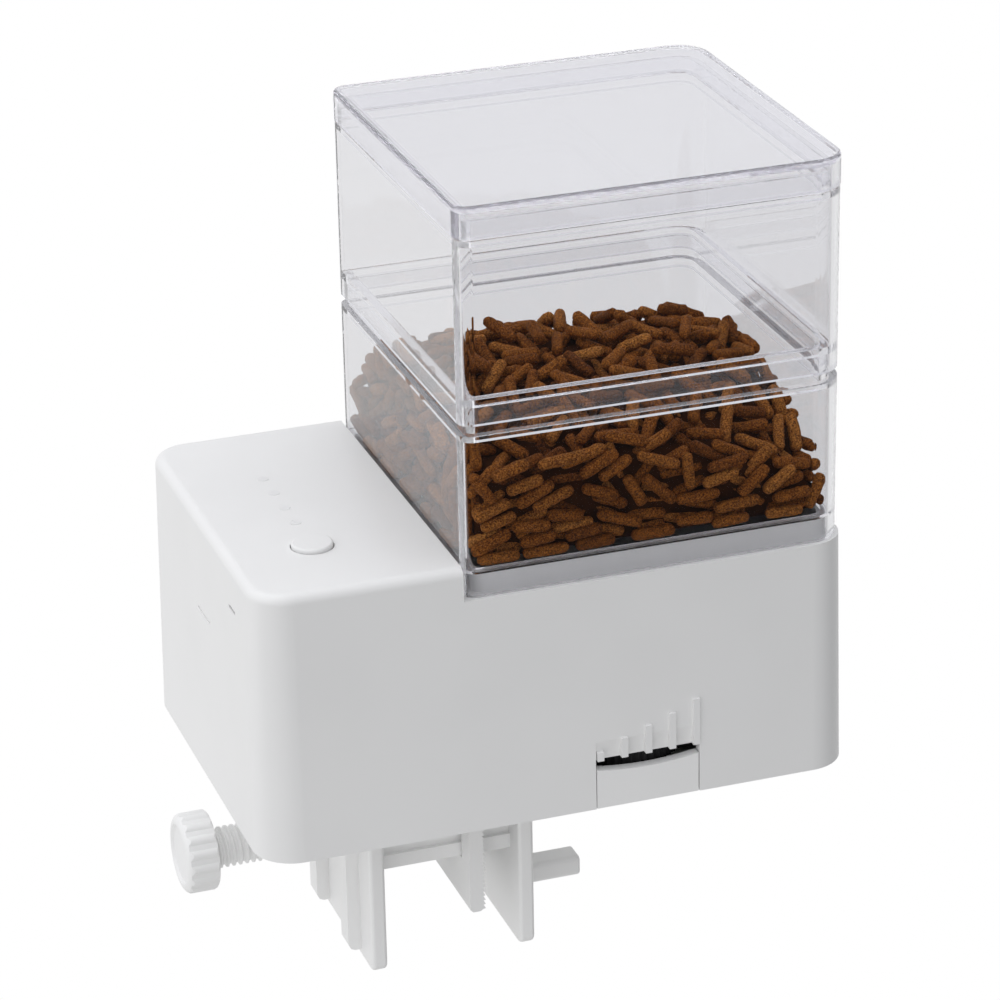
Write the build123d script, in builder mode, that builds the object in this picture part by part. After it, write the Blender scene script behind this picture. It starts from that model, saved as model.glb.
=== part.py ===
from build123d import *
import math
import os

os.makedirs("parts", exist_ok=True)

# Automatic fish feeder: an L-shaped housing with a clear stacked food hopper, held on a tank
# rim by a screw clamp. Sizes in mm. Drawing coordinates start at the housing's lower front left
# corner: x to the right, y to the back, z up. The row's origin is on the fixed jaw's gripping
# face, on the clamp's centre line, at the height of the clamp screw.

# Housing
W, D, H = 125.0, 84.0, 57.0
CORNER_R = 8.5
DRAFT = 1.04
WALL = 2.0
SEAT_Z = 50.0
STEP_X = 42.7
COLLAR_H = 4.5
NOTCH_X0, NOTCH_X1, NOTCH_TOP = 69.3, 91.5, 10.7
TAB_TOP = 8.6

# Hopper: lower bin, extension ring, lid
BIN_X0, BIN_X1, BIN_Y0, BIN_Y1 = 43.2, 123.4, 1.75, 82.25
CLEAR_T = 1.6
CLEAR_R = 3.0
CLEAR_R_RIGHT = 7.0
BIN_TOP = 83.8
RING_Z0, RING_TOP = 86.0, 123.4
LID_Z0, LID_TOP = 123.8, 130.2
NECK = 3.6

# Clamp
JAW_X = 59.3
CLAMP_Y = 42.0
CLAMP_HALF = 22.4
LEG_T = 3.3
LEG_BOTTOM = -40.0
LEG1_X = 27.2
RIB_BOTTOM = -38.4
JAW_T = 2.8
MOVING_X = 48.6
MOVING_BOTTOM = -30.0
SCREW_Z = -16.8
SCREW_R = 4.3
PITCH = 1.4
RAIL_BOTTOM = -19.4
RIM_X = 52.3
WEB = 3.3
KNOB_X0, KNOB_X1 = -6.9, -0.2
KNOB_R = 8.4

# Metering unit
DRUM_Y, DRUM_Z = 42.0, 20.0
DRUM_R = 10.5
ROTOR_R = 10.2
DRUM_X0, DRUM_X1 = 72.4, 92.0
THROAT_X0, THROAT_X1, THROAT_Y0, THROAT_Y1 = 74.0, 91.5, 34.0, 50.0
OUT_Y0, OUT_Y1 = 37.0, 47.0
MODULE = 0.6
ROTOR_TEETH, PINION_TEETH = 42, 14
SHAFT_GAP = MODULE * (ROTOR_TEETH + PINION_TEETH) / 2

# Quantity wheel
WHEEL_X, WHEEL_Y, WHEEL_R = 80.3, 15.4, 12.5
WHEEL_Z0, WHEEL_Z1 = 6.6, 10.0
GATE_TEETH = 20
GATE_Z0, GATE_Z1 = 2.3, 4.8

# Button and lights
BUTTON_X, BUTTON_Y, BUTTON_R = 18.7, 22.4, 4.2
LIGHT_X, LIGHT_Y, LIGHT_PITCH, LIGHT_R = 18.8, 34.2, 7.8, 1.2
BOARD_Z = 45.6

# Batteries and their door
CELL_R, CELL_L, CELL_Z, CELL_Y = 5.25, 44.5, 12.9, 35.6
CELL_XS = (18.75, 30.25)
DOOR_Y, DOOR_Z = 82.3, 7.2

ORIGIN = (JAW_X, CLAMP_Y, SCREW_Z)
BASE = Plane(origin=(-ORIGIN[0], -ORIGIN[1], -ORIGIN[2]))


def level(z):
    """Horizontal plane at height z, drawn in (x, y)."""
    return Plane(origin=(-ORIGIN[0], -ORIGIN[1], z - ORIGIN[2]))


def side(x):
    """Plane across the width at x, drawn in (y, z) and extruded to the right."""
    place = (x - ORIGIN[0], -ORIGIN[1], -ORIGIN[2])
    return Plane(origin=place, x_dir=(0, 1, 0), z_dir=(1, 0, 0))


def facing(y):
    """Plane across the depth at y, drawn in (x, z) and extruded to the front."""
    place = (-ORIGIN[0], y - ORIGIN[1], -ORIGIN[2])
    return Plane(origin=place, x_dir=(1, 0, 0), z_dir=(0, -1, 0))


def block(x0, x1, y0, y1, z0, z1, mode=Mode.ADD):
    """Box between two opposite corners."""
    with Locations(((x0 + x1) / 2, (y0 + y1) / 2, (z0 + z1) / 2)):
        Box(x1 - x0, y1 - y0, z1 - z0, mode=mode)


def post(x, y, z0, z1, r, mode=Mode.ADD):
    """Upright cylinder."""
    with Locations((x, y, (z0 + z1) / 2)):
        Cylinder(r, z1 - z0, mode=mode)


def rod(x0, x1, y, z, r, mode=Mode.ADD):
    """Cylinder along x."""
    with Locations(((x0 + x1) / 2, y, z)):
        Cylinder(r, x1 - x0, rotation=(0, 90, 0), mode=mode)


def bar(x, y0, y1, z, r, mode=Mode.ADD):
    """Cylinder along y."""
    with Locations((x, (y0 + y1) / 2, z)):
        Cylinder(r, y1 - y0, rotation=(90, 0, 0), mode=mode)


def rounded(x0, x1, y0, y1, z, r):
    """Rounded rectangle on a horizontal plane."""
    with BuildSketch(level(z)) as outline:
        with Locations(((x0 + x1) / 2, (y0 + y1) / 2)):
            RectangleRounded(x1 - x0, y1 - y0, r)
    return outline.sketch


def hopper_outline(x0, x1, y0, y1, z, r_left, r_right):
    """Rectangle whose right corners follow the housing's and are rounder than the left ones."""
    with BuildSketch(level(z)) as outline:
        with Locations(((x0 + x1) / 2, (y0 + y1) / 2)):
            Rectangle(x1 - x0, y1 - y0)
        fillet(outline.vertices().group_by(Axis.X)[0], r_left)
        fillet(outline.vertices().group_by(Axis.X)[-1], r_right)
    return outline.sketch


def tooth_outline(teeth, cx, cy, phase=0.0, backlash=0.10, addendum=0.8):
    """Points of a stub involute gear's outline around (cx, cy), with a tooth at angle phase."""
    pitch_r = MODULE * teeth / 2
    base_r = pitch_r * math.cos(math.radians(20))
    tip_r = pitch_r + addendum * MODULE
    root_r = pitch_r - (addendum + 0.25) * MODULE
    involute = math.tan(math.radians(20)) - math.radians(20)
    half = math.pi / (2 * teeth) - backlash / (2 * pitch_r) + involute
    flank = []
    for k in range(6):
        r = max(base_r, root_r) + (tip_r - max(base_r, root_r)) * k / 5
        angle = math.acos(min(1.0, base_r / r))
        flank.append((r, half - (math.tan(angle) - angle)))
    points = []
    for n in range(teeth):
        mid = phase + 2 * math.pi * n / teeth
        if root_r < base_r:
            points.append((root_r, mid - half))
        points += [(r, mid - a) for r, a in flank]
        points += [(r, mid + a) for r, a in reversed(flank)]
        if root_r < base_r:
            points.append((root_r, mid + half))
    return [(cx + r * math.cos(a), cy + r * math.sin(a)) for r, a in points]


# ---------------------------------------------------------------- housing shell
with BuildPart(BASE) as housing_shell:
    extrude(rounded(0, W, 0, D, 0, CORNER_R), amount=H, taper=DRAFT)
    fillet(housing_shell.faces().sort_by(Axis.Z)[-1].edges(), 2.0)
    block(STEP_X, W + 5, -5, D + 5, SEAT_Z, H + 5, Mode.SUBTRACT)
    cavity = rounded(WALL, W - WALL, WALL, D - WALL, 0, CORNER_R - WALL)
    extrude(cavity, amount=SEAT_Z - WALL, taper=DRAFT, mode=Mode.SUBTRACT)
    cavity = rounded(3.1, STEP_X - WALL, 3.1, D - 3.1, 40, 5.0)
    extrude(cavity, amount=H - WALL - 40, mode=Mode.SUBTRACT)
    # collar that the lower bin stands around, and the food opening inside it
    extrude(rounded(45.15, 121.45, 3.7, 80.3, SEAT_Z, 5.0), amount=COLLAR_H)
    food_way = rounded(47.0, 119.6, 5.55, 78.45, SEAT_Z - WALL, 3.2)
    extrude(food_way, amount=COLLAR_H + WALL + 1, mode=Mode.SUBTRACT)
    # notch behind the bottom cover's tab, and the hollowed lip above the quantity slot
    block(NOTCH_X0, NOTCH_X1, -1, 3.5, -1, NOTCH_TOP, Mode.SUBTRACT)
    with BuildSketch(side(NOTCH_X0)):
        with BuildLine():
            Polyline((-1, NOTCH_TOP - 1), (1.1, NOTCH_TOP - 1), (0.9, NOTCH_TOP + 1.2),
                     (0.2, NOTCH_TOP + 4.5), (-1, NOTCH_TOP + 4.5), close=True)
        make_face()
    extrude(amount=NOTCH_X1 - NOTCH_X0, mode=Mode.SUBTRACT)
    # five level bars over the slot
    for k, top in enumerate((12.6, 15.0, 16.8, 18.6, 20.9)):
        x = 70.25 + 5.13 * k
        block(x - 0.68, x + 0.68, -0.25, 1.7, NOTCH_TOP, top)
    # button and light openings in the shelf
    post(BUTTON_X, BUTTON_Y, H - 4, H + 1, BUTTON_R + 0.2, Mode.SUBTRACT)
    for k in range(4):
        post(LIGHT_X, LIGHT_Y + LIGHT_PITCH * k, H - 4, H + 1, LIGHT_R, Mode.SUBTRACT)
    # slits on the left face
    block(-1, 0.95, 35.8, 44.8, 36.9, 37.5, Mode.SUBTRACT)
    block(-1, 3.5, 16.2, 20.6, 47.6, 48.3, Mode.SUBTRACT)
    # corner posts for the cover screws
    for x in (5.6, W - 5.6):
        for y in (5.6, D - 5.6):
            post(x, y, 3.2, 36, 3.0)
            post(x, y, 3.2, 15, 1.0, Mode.SUBTRACT)
    # standoffs that carry the control board
    for x in (9, 35):
        for y in (13, 71):
            post(x, y, BOARD_Z, H - 1.0, 2.2)
            post(x, y, BOARD_Z, BOARD_Z + 5, 0.8, Mode.SUBTRACT)
    # battery door opening and its two pivot lugs
    block(12.7, 36.3, D - 4, D + 1, 5.4, 20.0, Mode.SUBTRACT)
    for x0, x1 in ((10.2, 12.7), (36.3, 38.8)):
        block(x0, x1, 79.8, 83.2, 5.0, 9.6)
    rod(10.5, 38.5, DOOR_Y, DOOR_Z, 0.95, Mode.SUBTRACT)
housing_shell.part.label = "housing_shell"
export_step(housing_shell.part, "parts/housing_shell.step")

# ---------------------------------------------------------------- bottom cover
with BuildPart(BASE) as bottom_cover:
    extrude(rounded(2.2, W - 2.2, 2.2, D - 2.2, 0, 6.3), amount=WALL)
    # tab that closes the front notch, with a finger scoop in its top edge
    with BuildSketch(facing(2.3)):
        with BuildLine():
            x0, x1 = NOTCH_X0 + 0.2, NOTCH_X1 - 0.2
            Line((x0, 0), (x1, 0))
            Line((x1, 0), (x1, TAB_TOP))
            ThreePointArc((x1, TAB_TOP), ((x0 + x1) / 2, TAB_TOP - 0.9), (x0, TAB_TOP))
            Line((x0, TAB_TOP), (x0, 0))
        make_face()
    extrude(amount=2.15)
    # outlet
    block(THROAT_X0, THROAT_X1, OUT_Y0, OUT_Y1, -1, 3, Mode.SUBTRACT)
    # gate guides
    block(71.2, 72.2, 26, 58, WALL, 5.0)
    block(93.7, 94.7, 26, 58, WALL, 5.0)
    # pivot of the quantity wheel
    post(WHEEL_X, WHEEL_Y, WALL - 0.5, 11.2, 2.0)
    # pads and countersinks for the cover screws
    for x in (5.6, W - 5.6):
        for y in (5.6, D - 5.6):
            post(x, y, WALL - 0.5, 3.2, 2.2)
            post(x, y, -1, 1.5, 2.3, Mode.SUBTRACT)
            post(x, y, -1, 4, 1.2, Mode.SUBTRACT)
    # bosses for the bracket screws
    for x in (34, 56):
        for y in (CLAMP_Y - 19.8, CLAMP_Y + 19.8):
            post(x, y, WALL - 0.5, 4.6, 3.0)
            post(x, y, -1, 5, 1.1, Mode.SUBTRACT)
    # saddles of the motor and screw bosses of its strap
    my = DRUM_Y - SHAFT_GAP
    for x in (37.0, 51.5):
        block(x, x + 2, my - 8.0, my + 8.0, WALL - 0.5, 20)
    block(36, 55, my - 6.15, my + 6.15, 14.9, 21, Mode.SUBTRACT)
    for y in (my - 9.6, my + 9.6):
        post(45, y, WALL - 0.5, 6, 2.0)
        post(45, y, 2.5, 7, 0.8, Mode.SUBTRACT)
bottom_cover.part.label = "bottom_cover"
export_step(bottom_cover.part, "parts/bottom_cover.step")

with BuildPart(BASE) as cover_screws:
    for x in (5.6, W - 5.6):
        for y in (5.6, D - 5.6):
            post(x, y, 0.3, 1.5, 2.1)
            post(x, y, 1.5, 13, 1.0)
            block(x - 1.4, x + 1.4, y - 0.25, y + 0.25, 0, 0.9, Mode.SUBTRACT)
            block(x - 0.25, x + 0.25, y - 1.4, y + 1.4, 0, 0.9, Mode.SUBTRACT)
cover_screws.part.label = "cover_screws"
export_step(cover_screws.part, "parts/cover_screws.step")


# ---------------------------------------------------------------- hopper
def tube(inset, z0, z1, wall):
    """Hopper wall between two heights, its outside set in from the bin's outline."""
    for step, mode in ((inset, Mode.ADD), (inset + wall, Mode.SUBTRACT)):
        outline = hopper_outline(BIN_X0 + step, BIN_X1 - step, BIN_Y0 + step, BIN_Y1 - step, z0,
                                 max(CLEAR_R - step, 0.8), CLEAR_R_RIGHT - step)
        extrude(outline, amount=z1 - z0, mode=mode)


IN = CLEAR_T + 0.3
with BuildPart(BASE) as lower_bin:
    tube(0, SEAT_Z + 0.1, BIN_TOP - 1.6, CLEAR_T)
    tube(0, BIN_TOP - 1.6, BIN_TOP, IN + CLEAR_T)
    tube(IN, BIN_TOP, BIN_TOP + NECK + 1.9, CLEAR_T)
    # ledge that stops on top of the collar
    tube(0.5, SEAT_Z + COLLAR_H + 0.1, SEAT_Z + COLLAR_H + 0.8, 2.4)
lower_bin.part.label = "lower_bin"
export_step(lower_bin.part, "parts/lower_bin.step")

with BuildPart(BASE) as extension_ring:
    tube(0, RING_Z0, BIN_TOP + NECK + 2.0, CLEAR_T)
    tube(0, BIN_TOP + NECK + 2.0, BIN_TOP + NECK + 3.6, IN + CLEAR_T)
    tube(0, BIN_TOP + NECK + 3.6, RING_TOP - 1.6, CLEAR_T)
    tube(0, RING_TOP - 1.6, RING_TOP, IN + CLEAR_T)
    tube(IN, RING_TOP, RING_TOP + NECK, CLEAR_T)
extension_ring.part.label = "extension_ring"
export_step(extension_ring.part, "parts/extension_ring.step")

with BuildPart(BASE) as lid:
    outside = hopper_outline(BIN_X0 - 0.1, BIN_X1 + 0.1, BIN_Y0 - 0.1, BIN_Y1 + 0.1, LID_Z0,
                             CLEAR_R + 0.1, CLEAR_R_RIGHT + 0.1)
    extrude(outside, amount=LID_TOP - LID_Z0)
    fillet(lid.faces().sort_by(Axis.Z)[-1].edges(), 0.8)
    hollow = hopper_outline(BIN_X0 + CLEAR_T, BIN_X1 - CLEAR_T, BIN_Y0 + CLEAR_T,
                            BIN_Y1 - CLEAR_T, LID_Z0, 1.0, CLEAR_R_RIGHT - CLEAR_T)
    extrude(hollow, amount=4.7, mode=Mode.SUBTRACT)
lid.part.label = "lid"
export_step(lid.part, "parts/lid.step")

# ---------------------------------------------------------------- clamp
with BuildPart(BASE) as clamp_bracket:
    y0, y1 = CLAMP_Y - CLAMP_HALF, CLAMP_Y + CLAMP_HALF
    block(LEG1_X, JAW_X + LEG_T, y0, y1, -WEB, 0)
    block(LEG1_X, LEG1_X + LEG_T, y0, y1, LEG_BOTTOM, -WEB)
    block(JAW_X, JAW_X + LEG_T, y0, y1, LEG_BOTTOM, -WEB)
    # round the legs' lower corners, then their lower and front edges
    fillet(clamp_bracket.edges().filter_by(Axis.X).group_by(Axis.Z)[0], 2.0)
    fillet(clamp_bracket.faces().group_by(Axis.Z)[0].edges(), 0.8)
    # stiffening ribs on the outer leg
    for y in (CLAMP_Y - 11.9, CLAMP_Y + 10.6):
        with BuildSketch(facing(y + 2.5)):
            with BuildLine():
                x0, z0 = LEG1_X - 2.7, RIB_BOTTOM
                Polyline((LEG1_X + 1, 0), (x0, 0), (x0, z0 + 1.4), (x0 + 0.5, z0 + 0.4),
                         (x0 + 1.4, z0), (LEG1_X + 1, z0), close=True)
            make_face()
        extrude(amount=5.0)
    # two rails under the web: they guide the moving jaw, and their ends rest on the tank rim
    for s in (-1, 1):
        a, b = sorted((CLAMP_Y + s * 12.0, CLAMP_Y + s * 16.0))
        c, d = sorted((CLAMP_Y + s * 12.0, CLAMP_Y + s * 17.0))
        block(LEG1_X + 1, JAW_X + 1, a, b, RAIL_BOTTOM + 0.2, -WEB + 1)
        block(LEG1_X + 1, JAW_X + 1, c, d, RAIL_BOTTOM + 0.2, RAIL_BOTTOM + 3.2)
        block(RIM_X, JAW_X + 1, c, d, RAIL_BOTTOM, RAIL_BOTTOM + 3.2)
    # boss for the clamp screw, and its hole
    rod(LEG1_X + 1, 36.0, CLAMP_Y, SCREW_Z, 8.0)
    rod(LEG1_X - 1, 38.0, CLAMP_Y, SCREW_Z, SCREW_R + 0.05, Mode.SUBTRACT)
    # peg on the outside of the fixed jaw
    with BuildSketch(side(JAW_X + 1)):
        with Locations((CLAMP_Y, -35.2)):
            RectangleRounded(6.0, 4.6, 1.2)
    extrude(amount=79.8 - JAW_X - 1)
    fillet(clamp_bracket.faces().sort_by(Axis.X)[-1].edges(), 0.6)
    # countersunk holes for the bracket screws
    for x in (34, 56):
        for y in (CLAMP_Y - 19.8, CLAMP_Y + 19.8):
            post(x, y, -WEB - 1, -WEB + 1.5, 2.4, Mode.SUBTRACT)
            post(x, y, -WEB - 1, 1, 1.3, Mode.SUBTRACT)
clamp_bracket.part.label = "clamp_bracket"
export_step(clamp_bracket.part, "parts/clamp_bracket.step")

with BuildPart(BASE) as bracket_screws:
    for x in (34, 56):
        for y in (CLAMP_Y - 19.8, CLAMP_Y + 19.8):
            post(x, y, -WEB + 0.1, -WEB + 1.5, 2.2)
            post(x, y, -WEB + 1.5, 4.4, 1.1)
            block(x - 1.4, x + 1.4, y - 0.25, y + 0.25, -WEB, -WEB + 0.8, Mode.SUBTRACT)
            block(x - 0.25, x + 0.25, y - 1.4, y + 1.4, -WEB, -WEB + 0.8, Mode.SUBTRACT)
bracket_screws.part.label = "bracket_screws"
export_step(bracket_screws.part, "parts/bracket_screws.step")

with BuildPart(BASE) as moving_jaw:
    grip_x = MOVING_X + JAW_T
    with BuildSketch(facing(CLAMP_Y + CLAMP_HALF)):
        with BuildLine():
            top, low = -WEB - 0.3, MOVING_BOTTOM
            n = int((top - low) / 1.0)
            teeth = [(MOVING_X, top)]
            for k in range(n):
                teeth.append((grip_x, top - k))
                teeth.append((grip_x + 0.55, top - k - 0.9))
            teeth += [(grip_x, top - n), (grip_x - 0.6, low), (MOVING_X + 0.6, low),
                      (MOVING_X, low + 0.6)]
            Polyline(*teeth, close=True)
        make_face()
    extrude(amount=2 * CLAMP_HALF)
    # slots that straddle the bracket's rails
    for s in (-1, 1):
        a, b = sorted((CLAMP_Y + s * 11.7, CLAMP_Y + s * 17.3))
        block(MOVING_X - 1, grip_x + 2, a, b, RAIL_BOTTOM - 0.3, 0, Mode.SUBTRACT)
    # swivel boss for the screw's tip, and the recess of its retaining ring
    rod(MOVING_X - 4.0, MOVING_X + 1, CLAMP_Y, SCREW_Z, 7.0)
    rod(MOVING_X - 5.0, grip_x + 2, CLAMP_Y, SCREW_Z, 2.55, Mode.SUBTRACT)
    rod(grip_x - 2.2, grip_x + 2, CLAMP_Y, SCREW_Z, 4.6, Mode.SUBTRACT)
moving_jaw.part.label = "moving_jaw"
export_step(moving_jaw.part, "parts/moving_jaw.step")

with BuildPart(BASE) as clamp_screw:
    tip = MOVING_X - 4.2
    core = SCREW_R - 0.62
    rod(KNOB_X0 + 2.2, KNOB_X1, CLAMP_Y, SCREW_Z, 3.0)
    rod(KNOB_X1, tip, CLAMP_Y, SCREW_Z, core)
    rod(tip, grip_x - 0.3, CLAMP_Y, SCREW_Z, 2.5)
    rod(grip_x - 1.5, grip_x - 1.0, CLAMP_Y, SCREW_Z, 2.6, Mode.SUBTRACT)
    rod(grip_x - 1.6, grip_x - 0.9, CLAMP_Y, SCREW_Z, 1.9)
    # helical thread
    start = (KNOB_X1 + 1.0 - ORIGIN[0], 0, 0)
    turns = 30
    with BuildLine():
        path = Helix(PITCH, PITCH * turns, core, center=start, direction=(1, 0, 0))
    outward = (path @ 0) - Vector(*start)
    with BuildSketch(Plane(origin=path @ 0, x_dir=outward, z_dir=path % 0)):
        with BuildLine():
            Polyline((-0.15, -0.58), (-0.15, 0.58), (0.62, 0.16), (0.62, -0.16), close=True)
        make_face()
    sweep(path=path, is_frenet=True)
clamp_screw.part.label = "clamp_screw"
export_step(clamp_screw.part, "parts/clamp_screw.step")

with BuildPart(BASE) as screw_ring:
    with BuildSketch(side(grip_x - 1.5)):
        with Locations((CLAMP_Y, SCREW_Z)):
            Circle(4.0)
            Circle(1.95, mode=Mode.SUBTRACT)
        with Locations((CLAMP_Y + 3, SCREW_Z)):
            Rectangle(6, 1.6, mode=Mode.SUBTRACT)
    extrude(amount=0.5)
screw_ring.part.label = "screw_ring"
export_step(screw_ring.part, "parts/screw_ring.step")

with BuildPart(BASE) as clamp_knob:
    with BuildSketch(side(KNOB_X0)):
        with Locations((CLAMP_Y, SCREW_Z)):
            Circle(KNOB_R - 0.4)
            with PolarLocations(KNOB_R - 1.3, 16):
                Circle(1.3)
    extrude(amount=KNOB_X1 - KNOB_X0)
    # rounded rim and a shallow dish in the outer face
    with BuildSketch(facing(CLAMP_Y)):
        with BuildLine():
            rim = SCREW_Z + KNOB_R
            Polyline((KNOB_X0 + 1.8, rim + 0.1), (KNOB_X1 - 0.5, rim + 0.1), (KNOB_X1, rim - 0.5),
                     (KNOB_X1, SCREW_Z), (KNOB_X0 + 0.5, SCREW_Z), (KNOB_X0 + 0.5, rim - 2.6),
                     (KNOB_X0, rim - 2.1))
            ThreePointArc((KNOB_X0, rim - 2.1), (KNOB_X0 + 0.5, rim - 0.55),
                          (KNOB_X0 + 1.8, rim + 0.1))
        make_face()
    revolve(axis=Axis.X, mode=Mode.INTERSECT)
    rod(KNOB_X0 + 2.2, KNOB_X1 + 1, CLAMP_Y, SCREW_Z, 3.0, Mode.SUBTRACT)
clamp_knob.part.label = "clamp_knob"
export_step(clamp_knob.part, "parts/clamp_knob.step")

# ---------------------------------------------------------------- metering unit
with BuildPart(BASE) as feed_funnel:
    extrude(rounded(45.2, 121.4, 3.7, 80.3, 46.4, 4.0), amount=SEAT_Z - WALL - 46.4)
    top = rounded(45.8, 120.8, 4.35, 79.65, 46.4, 4.2)
    low = rounded(THROAT_X0 - 1.5, THROAT_X1 + 1.5, THROAT_Y0 - 1.5, THROAT_Y1 + 1.5, 30, 1.5)
    loft([top.face(), low.face()])
    rod(DRUM_X0, DRUM_X1 + 1.6, DRUM_Y, DRUM_Z, DRUM_R + 1.5)
    block(THROAT_X0 - 1.2, THROAT_X1 + 1.2, OUT_Y0 - 1.2, OUT_Y1 + 1.2, GATE_Z1 + 0.3, 14)
    extrude(rounded(47.0, 119.6, 5.55, 78.45, 46.4, 3.2), amount=3, mode=Mode.SUBTRACT)
    top = rounded(47.0, 119.6, 5.55, 78.45, 46.4, 3.2)
    low = rounded(THROAT_X0, THROAT_X1, THROAT_Y0, THROAT_Y1, 30, 1.0)
    loft([top.face(), low.face()], mode=Mode.SUBTRACT)
    block(THROAT_X0, THROAT_X1, THROAT_Y0, THROAT_Y1, 22, 30.01, Mode.SUBTRACT)
    block(THROAT_X0, THROAT_X1, OUT_Y0, OUT_Y1, 3, 20, Mode.SUBTRACT)
    rod(DRUM_X0 - 1, DRUM_X1, DRUM_Y, DRUM_Z, DRUM_R, Mode.SUBTRACT)
    rod(DRUM_X1 - 1, DRUM_X1 + 3, DRUM_Y, DRUM_Z, 2.05, Mode.SUBTRACT)
feed_funnel.part.label = "feed_funnel"
export_step(feed_funnel.part, "parts/feed_funnel.step")

with BuildPart(BASE) as drum_cap:
    rod(DRUM_X0 - 2.0, DRUM_X0, DRUM_Y, DRUM_Z, DRUM_R + 1.5)
    rod(DRUM_X0, DRUM_X0 + 0.6, DRUM_Y, DRUM_Z, DRUM_R)
    rod(DRUM_X0 - 3.6, DRUM_X0, DRUM_Y, DRUM_Z, 4.2)
    rod(DRUM_X0 - 5, DRUM_X0 + 2, DRUM_Y, DRUM_Z, 2.55, Mode.SUBTRACT)
    block(DRUM_X0 - 3, DRUM_X0 + 2, 30, 54, 30, 34, Mode.SUBTRACT)
drum_cap.part.label = "drum_cap"
export_step(drum_cap.part, "parts/drum_cap.step")

with BuildPart(BASE) as dosing_rotor:
    rod(DRUM_X0 + 0.9, DRUM_X1 - 0.3, DRUM_Y, DRUM_Z, 3.4)
    with BuildSketch(side(DRUM_X0 + 0.9)):
        with Locations((DRUM_Y, DRUM_Z)):
            with PolarLocations(ROTOR_R / 2, 6):
                Rectangle(ROTOR_R, 1.3)
    extrude(amount=DRUM_X1 - 0.3 - DRUM_X0 - 0.9)
    rod(DRUM_X0 - 3.9, DRUM_X0 + 0.9, DRUM_Y, DRUM_Z, 2.5)
    rod(DRUM_X0 - 10.4, DRUM_X0 - 3.9, DRUM_Y, DRUM_Z, 2.0)
    rod(DRUM_X1 - 0.3, DRUM_X1 + 1.4, DRUM_Y, DRUM_Z, 2.0)
dosing_rotor.part.label = "dosing_rotor"
export_step(dosing_rotor.part, "parts/dosing_rotor.step")

GEAR_X0, GEAR_X1 = DRUM_X0 - 9.4, DRUM_X0 - 5.4
with BuildPart(BASE) as rotor_gear:
    with BuildSketch(side(GEAR_X0)):
        with BuildLine():
            Polyline(*tooth_outline(ROTOR_TEETH, DRUM_Y, DRUM_Z, math.pi), close=True)
        make_face()
        with Locations((DRUM_Y, DRUM_Z)):
            Circle(2.0, mode=Mode.SUBTRACT)
            with PolarLocations(7.0, 5):
                Circle(2.2, mode=Mode.SUBTRACT)
    extrude(amount=GEAR_X1 - GEAR_X0)
    with BuildSketch(side(GEAR_X1)):
        with Locations((DRUM_Y, DRUM_Z)):
            Circle(3.6)
            Circle(2.0, mode=Mode.SUBTRACT)
    extrude(amount=1.2)
rotor_gear.part.label = "rotor_gear"
export_step(rotor_gear.part, "parts/rotor_gear.step")

with BuildPart(BASE) as motor_pinion:
    with BuildSketch(side(GEAR_X0 - 0.5)):
        with BuildLine():
            phase = math.pi / PINION_TEETH
            Polyline(*tooth_outline(PINION_TEETH, my, DRUM_Z, phase), close=True)
        make_face()
        with Locations((my, DRUM_Z)):
            Circle(1.5, mode=Mode.SUBTRACT)
    extrude(amount=GEAR_X1 - GEAR_X0 + 1)
motor_pinion.part.label = "motor_pinion"
export_step(motor_pinion.part, "parts/motor_pinion.step")

with BuildPart(BASE) as motor_shaft:
    rod(56.0, GEAR_X1 + 1.5, my, DRUM_Z, 1.5)
motor_shaft.part.label = "motor_shaft"
export_step(motor_shaft.part, "parts/motor_shaft.step")

with BuildPart(BASE) as gear_motor:
    block(48.5, 57.5, my - 6, my + 6, 15, 25)
    rod(34.0, 48.5, my, DRUM_Z, 6.0)
    block(33, 48.4, my - 7, my + 7, 25, 28, Mode.SUBTRACT)
    block(33, 48.4, my - 7, my + 7, 12, 15, Mode.SUBTRACT)
    rod(57.5, 58.3, my, DRUM_Z, 3.0)
    rod(32.6, 34.0, my, DRUM_Z, 2.4)
    rod(55.5, 60, my, DRUM_Z, 1.55, Mode.SUBTRACT)
    for y in (my - 4, my + 4):
        block(32.2, 34.0, y - 0.9, y + 0.9, DRUM_Z - 0.3, DRUM_Z + 0.3)
gear_motor.part.label = "gear_motor"
export_step(gear_motor.part, "parts/gear_motor.step")

with BuildPart(BASE) as motor_strap:
    with BuildSketch(side(42.5)):
        with BuildLine():
            Polyline((my - 11.8, 6), (my - 6.6, 6), (my - 6.6, 25.1), (my + 6.6, 25.1),
                     (my + 6.6, 6), (my + 11.8, 6), (my + 11.8, 7.2), (my + 7.8, 7.2),
                     (my + 7.8, 26.3), (my - 7.8, 26.3), (my - 7.8, 7.2), (my - 11.8, 7.2),
                     close=True)
        make_face()
    extrude(amount=5.0)
    for y in (my - 9.6, my + 9.6):
        post(45, y, 5, 8, 1.0, Mode.SUBTRACT)
motor_strap.part.label = "motor_strap"
export_step(motor_strap.part, "parts/motor_strap.step")

with BuildPart(BASE) as strap_screws:
    for y in (my - 9.6, my + 9.6):
        post(45, y, 7.2, 8.4, 1.6)
        post(45, y, 2.8, 7.2, 0.8)
strap_screws.part.label = "strap_screws"
export_step(strap_screws.part, "parts/strap_screws.step")

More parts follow.
